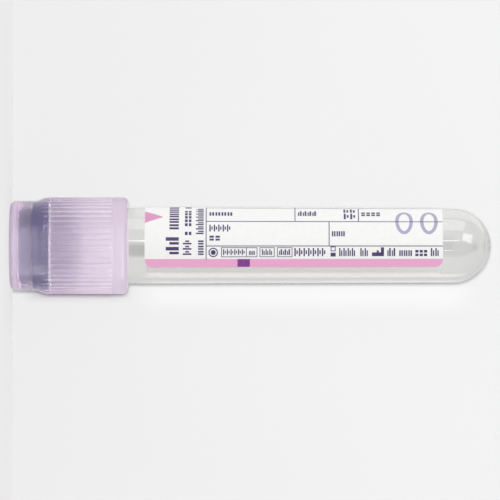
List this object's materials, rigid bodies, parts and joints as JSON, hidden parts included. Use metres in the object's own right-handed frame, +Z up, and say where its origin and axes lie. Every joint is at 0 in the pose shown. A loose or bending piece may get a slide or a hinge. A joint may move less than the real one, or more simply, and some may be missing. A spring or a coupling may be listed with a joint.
{
  "type": "blood collection tube",
  "caption": "Clear round-bottomed evacuated sample tube with a glued paper label and a pull-off ribbed plastic closure shield over a rubber stopper.",
  "frame": {"origin": "in the middle of the closure's head, on the surface that the tube stands on, head down", "axes": "+Z runs up the tube's axis, from the closure's head to the round foot; -Y is the front, where the label's ruled part is, and the bare strip that the label leaves faces +X"},
  "size_m": [0.0164, 0.0164, 0.0816],
  "materials": {
    "tube": "clear injection moulded PET, glossy",
    "label": "gloss coated white paper, printed",
    "stopper": "dark slate-purple moulded rubber, satin",
    "shield": "translucent lavender polyethylene, satin"
  },
  "bodies": {
    "closure": {"stopper": "stopper", "shield": "shield"},
    "tube": {"tube": "tube", "label": "label"}
  },
  "joints": [
    {"name": "closure_pull", "type": "slide", "parent": "closure", "child": "tube", "axis": [0, 0, 1], "range_m": [0, 0.025]}
  ]
}
